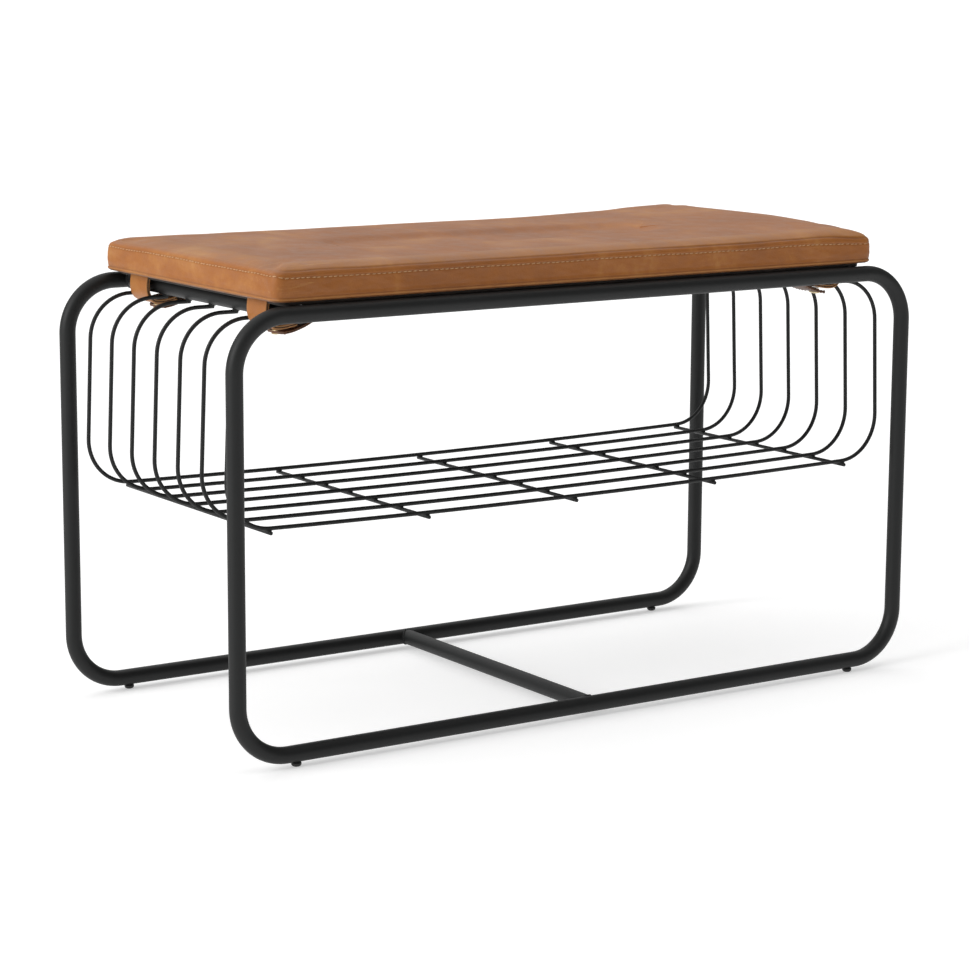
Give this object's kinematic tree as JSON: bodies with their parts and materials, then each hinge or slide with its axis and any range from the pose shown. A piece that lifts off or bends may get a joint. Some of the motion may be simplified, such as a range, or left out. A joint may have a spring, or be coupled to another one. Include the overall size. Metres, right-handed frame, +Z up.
{
  "type": "entryway bench",
  "caption": "Entryway bench: two bent steel tube loops joined by bars, a hanging wire shoe shelf and a padded leather seat held on by snap straps.",
  "frame": {"origin": "centre of the footprint, on the floor under the glides", "axes": "+X along the bench, +Y to the back, +Z up"},
  "size_m": [0.9, 0.4, 0.518],
  "materials": {
    "frame_steel": "matte black powder coat",
    "seat_leather": "tan pull-up leather",
    "seat_lining": "woven underlining",
    "seat_foam": "open-cell foam",
    "seat_plywood": "raw plywood",
    "strap_leather": "tan strap leather, two layers",
    "stud_brass": "antique brass press stud",
    "glide_nylon": "black nylon"
  },
  "bodies": {
    "bench": {"front_loop": "frame_steel", "rear_loop": "frame_steel", "top_bar_left": "frame_steel", "top_bar_right": "frame_steel", "base_bar": "frame_steel", "shelf_wire_1": "frame_steel", "shelf_wire_2": "frame_steel", "shelf_wire_3": "frame_steel", "shelf_wire_4": "frame_steel", "shelf_wire_5": "frame_steel", "shelf_wire_6": "frame_steel", "shelf_wire_7": "frame_steel", "shelf_cross_wire_1": "frame_steel", "shelf_cross_wire_2": "frame_steel", "shelf_cross_wire_3": "frame_steel", "shelf_cross_wire_4": "frame_steel", "shelf_cross_wire_5": "frame_steel", "glide_front_left": "glide_nylon", "glide_front_right": "glide_nylon", "glide_rear_left": "glide_nylon", "glide_rear_right": "glide_nylon", "cover_top": "seat_leather", "cover_band": "seat_leather", "cover_bottom": "seat_lining", "foam_pad": "seat_foam", "seat_board": "seat_plywood"},
    "tab_front_left": {"tab_front_left": "strap_leather", "tab_socket_front_left": "stud_brass", "tab_cap_front_left": "stud_brass"},
    "strap_front_left": {"strap_front_left": "strap_leather", "strap_stud_front_left": "stud_brass"},
    "tab_front_right": {"tab_front_right": "strap_leather", "tab_socket_front_right": "stud_brass", "tab_cap_front_right": "stud_brass"},
    "strap_front_right": {"strap_front_right": "strap_leather", "strap_stud_front_right": "stud_brass"},
    "tab_rear_left": {"tab_rear_left": "strap_leather", "tab_socket_rear_left": "stud_brass", "tab_cap_rear_left": "stud_brass"},
    "strap_rear_left": {"strap_rear_left": "strap_leather", "strap_stud_rear_left": "stud_brass"},
    "tab_rear_right": {"tab_rear_right": "strap_leather", "tab_socket_rear_right": "stud_brass", "tab_cap_rear_right": "stud_brass"},
    "strap_rear_right": {"strap_rear_right": "strap_leather", "strap_stud_rear_right": "stud_brass"}
  },
  "joints": [
    {"name": "tab_front_left_open", "type": "hinge", "parent": "bench", "child": "tab_front_left", "pos_m": [-0.288, -0.13208, 0.4756], "axis": [0, -1, 0], "range_deg": [0, 55]},
    {"name": "strap_front_left_open", "type": "hinge", "parent": "bench", "child": "strap_front_left", "pos_m": [-0.3804, -0.13208, 0.4756], "axis": [0, 1, 0], "range_deg": [0, 65]},
    {"name": "tab_front_right_open", "type": "hinge", "parent": "bench", "child": "tab_front_right", "pos_m": [0.288, -0.13208, 0.4756], "axis": [0, 1, 0], "range_deg": [0, 55]},
    {"name": "strap_front_right_open", "type": "hinge", "parent": "bench", "child": "strap_front_right", "pos_m": [0.3804, -0.13208, 0.4756], "axis": [0, -1, 0], "range_deg": [0, 65]},
    {"name": "tab_rear_left_open", "type": "hinge", "parent": "bench", "child": "tab_rear_left", "pos_m": [-0.288, 0.13208, 0.4756], "axis": [0, -1, 0], "range_deg": [0, 55]},
    {"name": "strap_rear_left_open", "type": "hinge", "parent": "bench", "child": "strap_rear_left", "pos_m": [-0.3804, 0.13208, 0.4756], "axis": [0, 1, 0], "range_deg": [0, 65]},
    {"name": "tab_rear_right_open", "type": "hinge", "parent": "bench", "child": "tab_rear_right", "pos_m": [0.288, 0.13208, 0.4756], "axis": [0, 1, 0], "range_deg": [0, 55]},
    {"name": "strap_rear_right_open", "type": "hinge", "parent": "bench", "child": "strap_rear_right", "pos_m": [0.3804, 0.13208, 0.4756], "axis": [0, -1, 0], "range_deg": [0, 65]}
  ],
  "couplings": [
    {"joint": "strap_front_left_open", "follows": "tab_front_left_open", "ratio": 1.18},
    {"joint": "strap_front_right_open", "follows": "tab_front_right_open", "ratio": 1.18},
    {"joint": "strap_rear_left_open", "follows": "tab_rear_left_open", "ratio": 1.18},
    {"joint": "strap_rear_right_open", "follows": "tab_rear_right_open", "ratio": 1.18}
  ]
}
